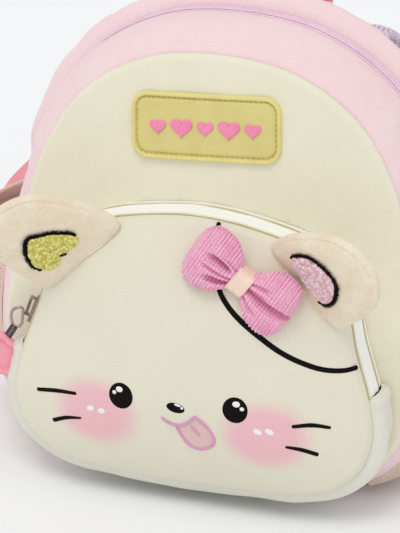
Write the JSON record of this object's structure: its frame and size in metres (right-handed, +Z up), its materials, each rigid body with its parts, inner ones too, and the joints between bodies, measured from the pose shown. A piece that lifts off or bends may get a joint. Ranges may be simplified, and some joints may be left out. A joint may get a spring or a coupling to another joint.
{
  "type": "kids animal backpack",
  "caption": "Small neoprene child's backpack with an animal face pocket, plush ears, bow, mesh side pockets and padded straps.",
  "frame": {"origin": "on the flat underside of the base, on the bag's middle plane", "axes": "+X to the right of someone facing the bag, +Y from its face to its back, +Z up"},
  "size_m": [0.3351, 0.1977, 0.2734],
  "materials": {
    "cream_neoprene": "fine knit over foam, matt",
    "pink_neoprene": "fine knit over foam, matt",
    "satin_tape": "smooth woven zip tape, slight sheen",
    "lilac_tape": "woven zip tape with a moulded coil",
    "back_fabric": "padded spacer mesh, matt",
    "plush": "short plush",
    "yellow_fleece": "curly fleece",
    "pink_fleece": "curly fleece",
    "rib_knit": "waffle rib knit",
    "ribbon": "satin ribbon",
    "soft_badge": "soft moulded rubbery plastic",
    "soft_pink": "soft moulded rubbery plastic",
    "mesh_fabric": "open mesh with a bound edge",
    "webbing": "ribbed woven webbing",
    "plastic": "moulded, lightly glossy",
    "metal": "dark plated metal"
  },
  "bodies": {
    "root": {"front_panel": "cream_neoprene", "gusset_front_band": "pink_neoprene", "gusset_back_band": "pink_neoprene", "gusset_base": "pink_neoprene", "main_zip_tape": "lilac_tape", "main_zip_coil": "lilac_tape", "main_zip_slider": "metal", "main_zip_pull": "metal", "back_panel": "back_fabric", "pocket_face": "cream_neoprene", "pocket_zip_tape_front": "satin_tape", "pocket_zip_tape_back": "satin_tape", "pocket_gusset": "cream_neoprene", "pocket_slider": "metal", "pocket_pull_ring": "metal", "pocket_pull_clip": "metal", "pocket_pull_charm": "soft_pink", "ear_left": "plush", "ear_left_inner": "yellow_fleece", "ear_right": "plush", "ear_right_inner": "pink_fleece", "bow_lobe_left": "rib_knit", "bow_lobe_right": "rib_knit", "bow_knot": "ribbon", "badge": "soft_badge", "badge_heart_1": "soft_pink", "badge_heart_2": "soft_pink", "badge_heart_3": "soft_pink", "badge_heart_4": "soft_pink", "badge_heart_5": "soft_pink", "side_pocket_left": "mesh_fabric", "side_pocket_right": "mesh_fabric", "side_binding_left": "mesh_fabric", "side_binding_right": "mesh_fabric", "strap_pad_left": "back_fabric", "strap_pad_right": "back_fabric", "strap_webbing_left": "webbing", "strap_webbing_right": "webbing", "strap_adjuster_left": "plastic", "strap_adjuster_right": "plastic", "handle": "webbing"}
  },
  "joints": []
}
